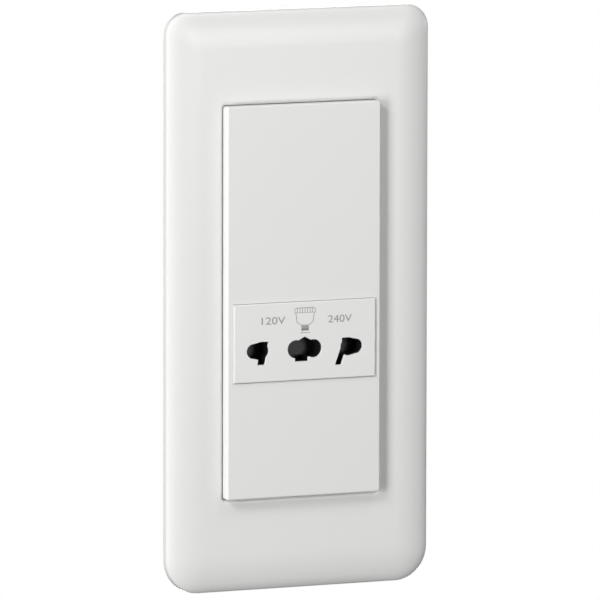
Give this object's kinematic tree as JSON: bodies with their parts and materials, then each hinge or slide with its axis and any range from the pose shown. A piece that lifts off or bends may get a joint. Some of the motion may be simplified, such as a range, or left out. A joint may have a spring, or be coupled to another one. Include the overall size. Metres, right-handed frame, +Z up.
{
  "type": "shaver socket",
  "caption": "Flush dual-voltage shaver socket: tall domed wall plate, raised flat face with a keyed socket panel, isolating transformer housing behind.",
  "frame": {"origin": "middle of the plate on the wall plane, at the middle of the two fixing holes", "axes": "+X right seen from the front, +Y into the wall, +Z up"},
  "size_m": [0.082, 0.0472, 0.166],
  "materials": {
    "plate_white": "white moulded plastic with a soft gloss",
    "face_white": "white moulded plastic, satin",
    "panel_white": "white moulded plastic with grey printed marks",
    "housing_white": "off-white moulded housing plastic",
    "frame_grey": "grey glass-filled moulded plastic",
    "black_plastic": "black moulded plastic",
    "switch_plastic": "dark grey moulded switch case",
    "bobbin_plastic": "natural nylon",
    "contact_bronze": "rolled spring bronze strip",
    "terminal_brass": "turned and milled brass",
    "zinc_steel": "bright zinc-plated steel",
    "spring_steel": "drawn spring wire",
    "core_steel": "varnished electrical steel sheets",
    "winding_copper": "enamelled copper wire under varnish",
    "cutout_case": "dark lacquered case",
    "wire_brown": "brown insulation",
    "wire_blue": "blue insulation",
    "wire_red": "red insulation",
    "wire_black": "black insulation",
    "wire_white": "white insulation"
  },
  "bodies": {
    "unit": {"cover_plate": "plate_white", "support_frame": "frame_grey", "front_housing": "face_white", "socket_insert": "panel_white", "pin_guide": "black_plastic", "shutter_spring": "spring_steel", "contact_carrier": "black_plastic", "contact_left": "contact_bronze", "contact_common": "contact_bronze", "contact_right": "contact_bronze", "switch_body": "switch_plastic", "switch_tabs": "terminal_brass", "transformer_core": "core_steel", "coil_bobbin": "bobbin_plastic", "primary_winding": "winding_copper", "secondary_winding": "winding_copper", "core_straps": "zinc_steel", "thermal_cutout": "cutout_case", "terminal_block": "housing_white", "terminal_cages": "terminal_brass", "terminal_screws": "zinc_steel", "rear_housing": "housing_white", "housing_screws": "zinc_steel", "carrier_screws": "zinc_steel", "lead_right": "wire_red", "lead_common": "wire_black", "lead_left": "wire_white", "lead_live": "wire_brown", "lead_neutral": "wire_blue", "lead_switched": "wire_brown", "lead_cutout": "wire_brown"},
    "shutter": {"shutter": "black_plastic"},
    "plunger": {"switch_plunger": "panel_white"}
  },
  "joints": [
    {"name": "shutter_slide", "type": "slide", "parent": "unit", "child": "shutter", "axis": [0, 0, -1], "range_m": [0, 0.0085], "stiffness_N_per_m": 40, "springref_m": -0.004, "deforming": ["shutter_spring"]},
    {"name": "plunger_push", "type": "slide", "parent": "unit", "child": "plunger", "axis": [0, 1, 0], "range_m": [0, 0.002], "stiffness_N_per_m": 250, "springref_m": -0.002}
  ]
}
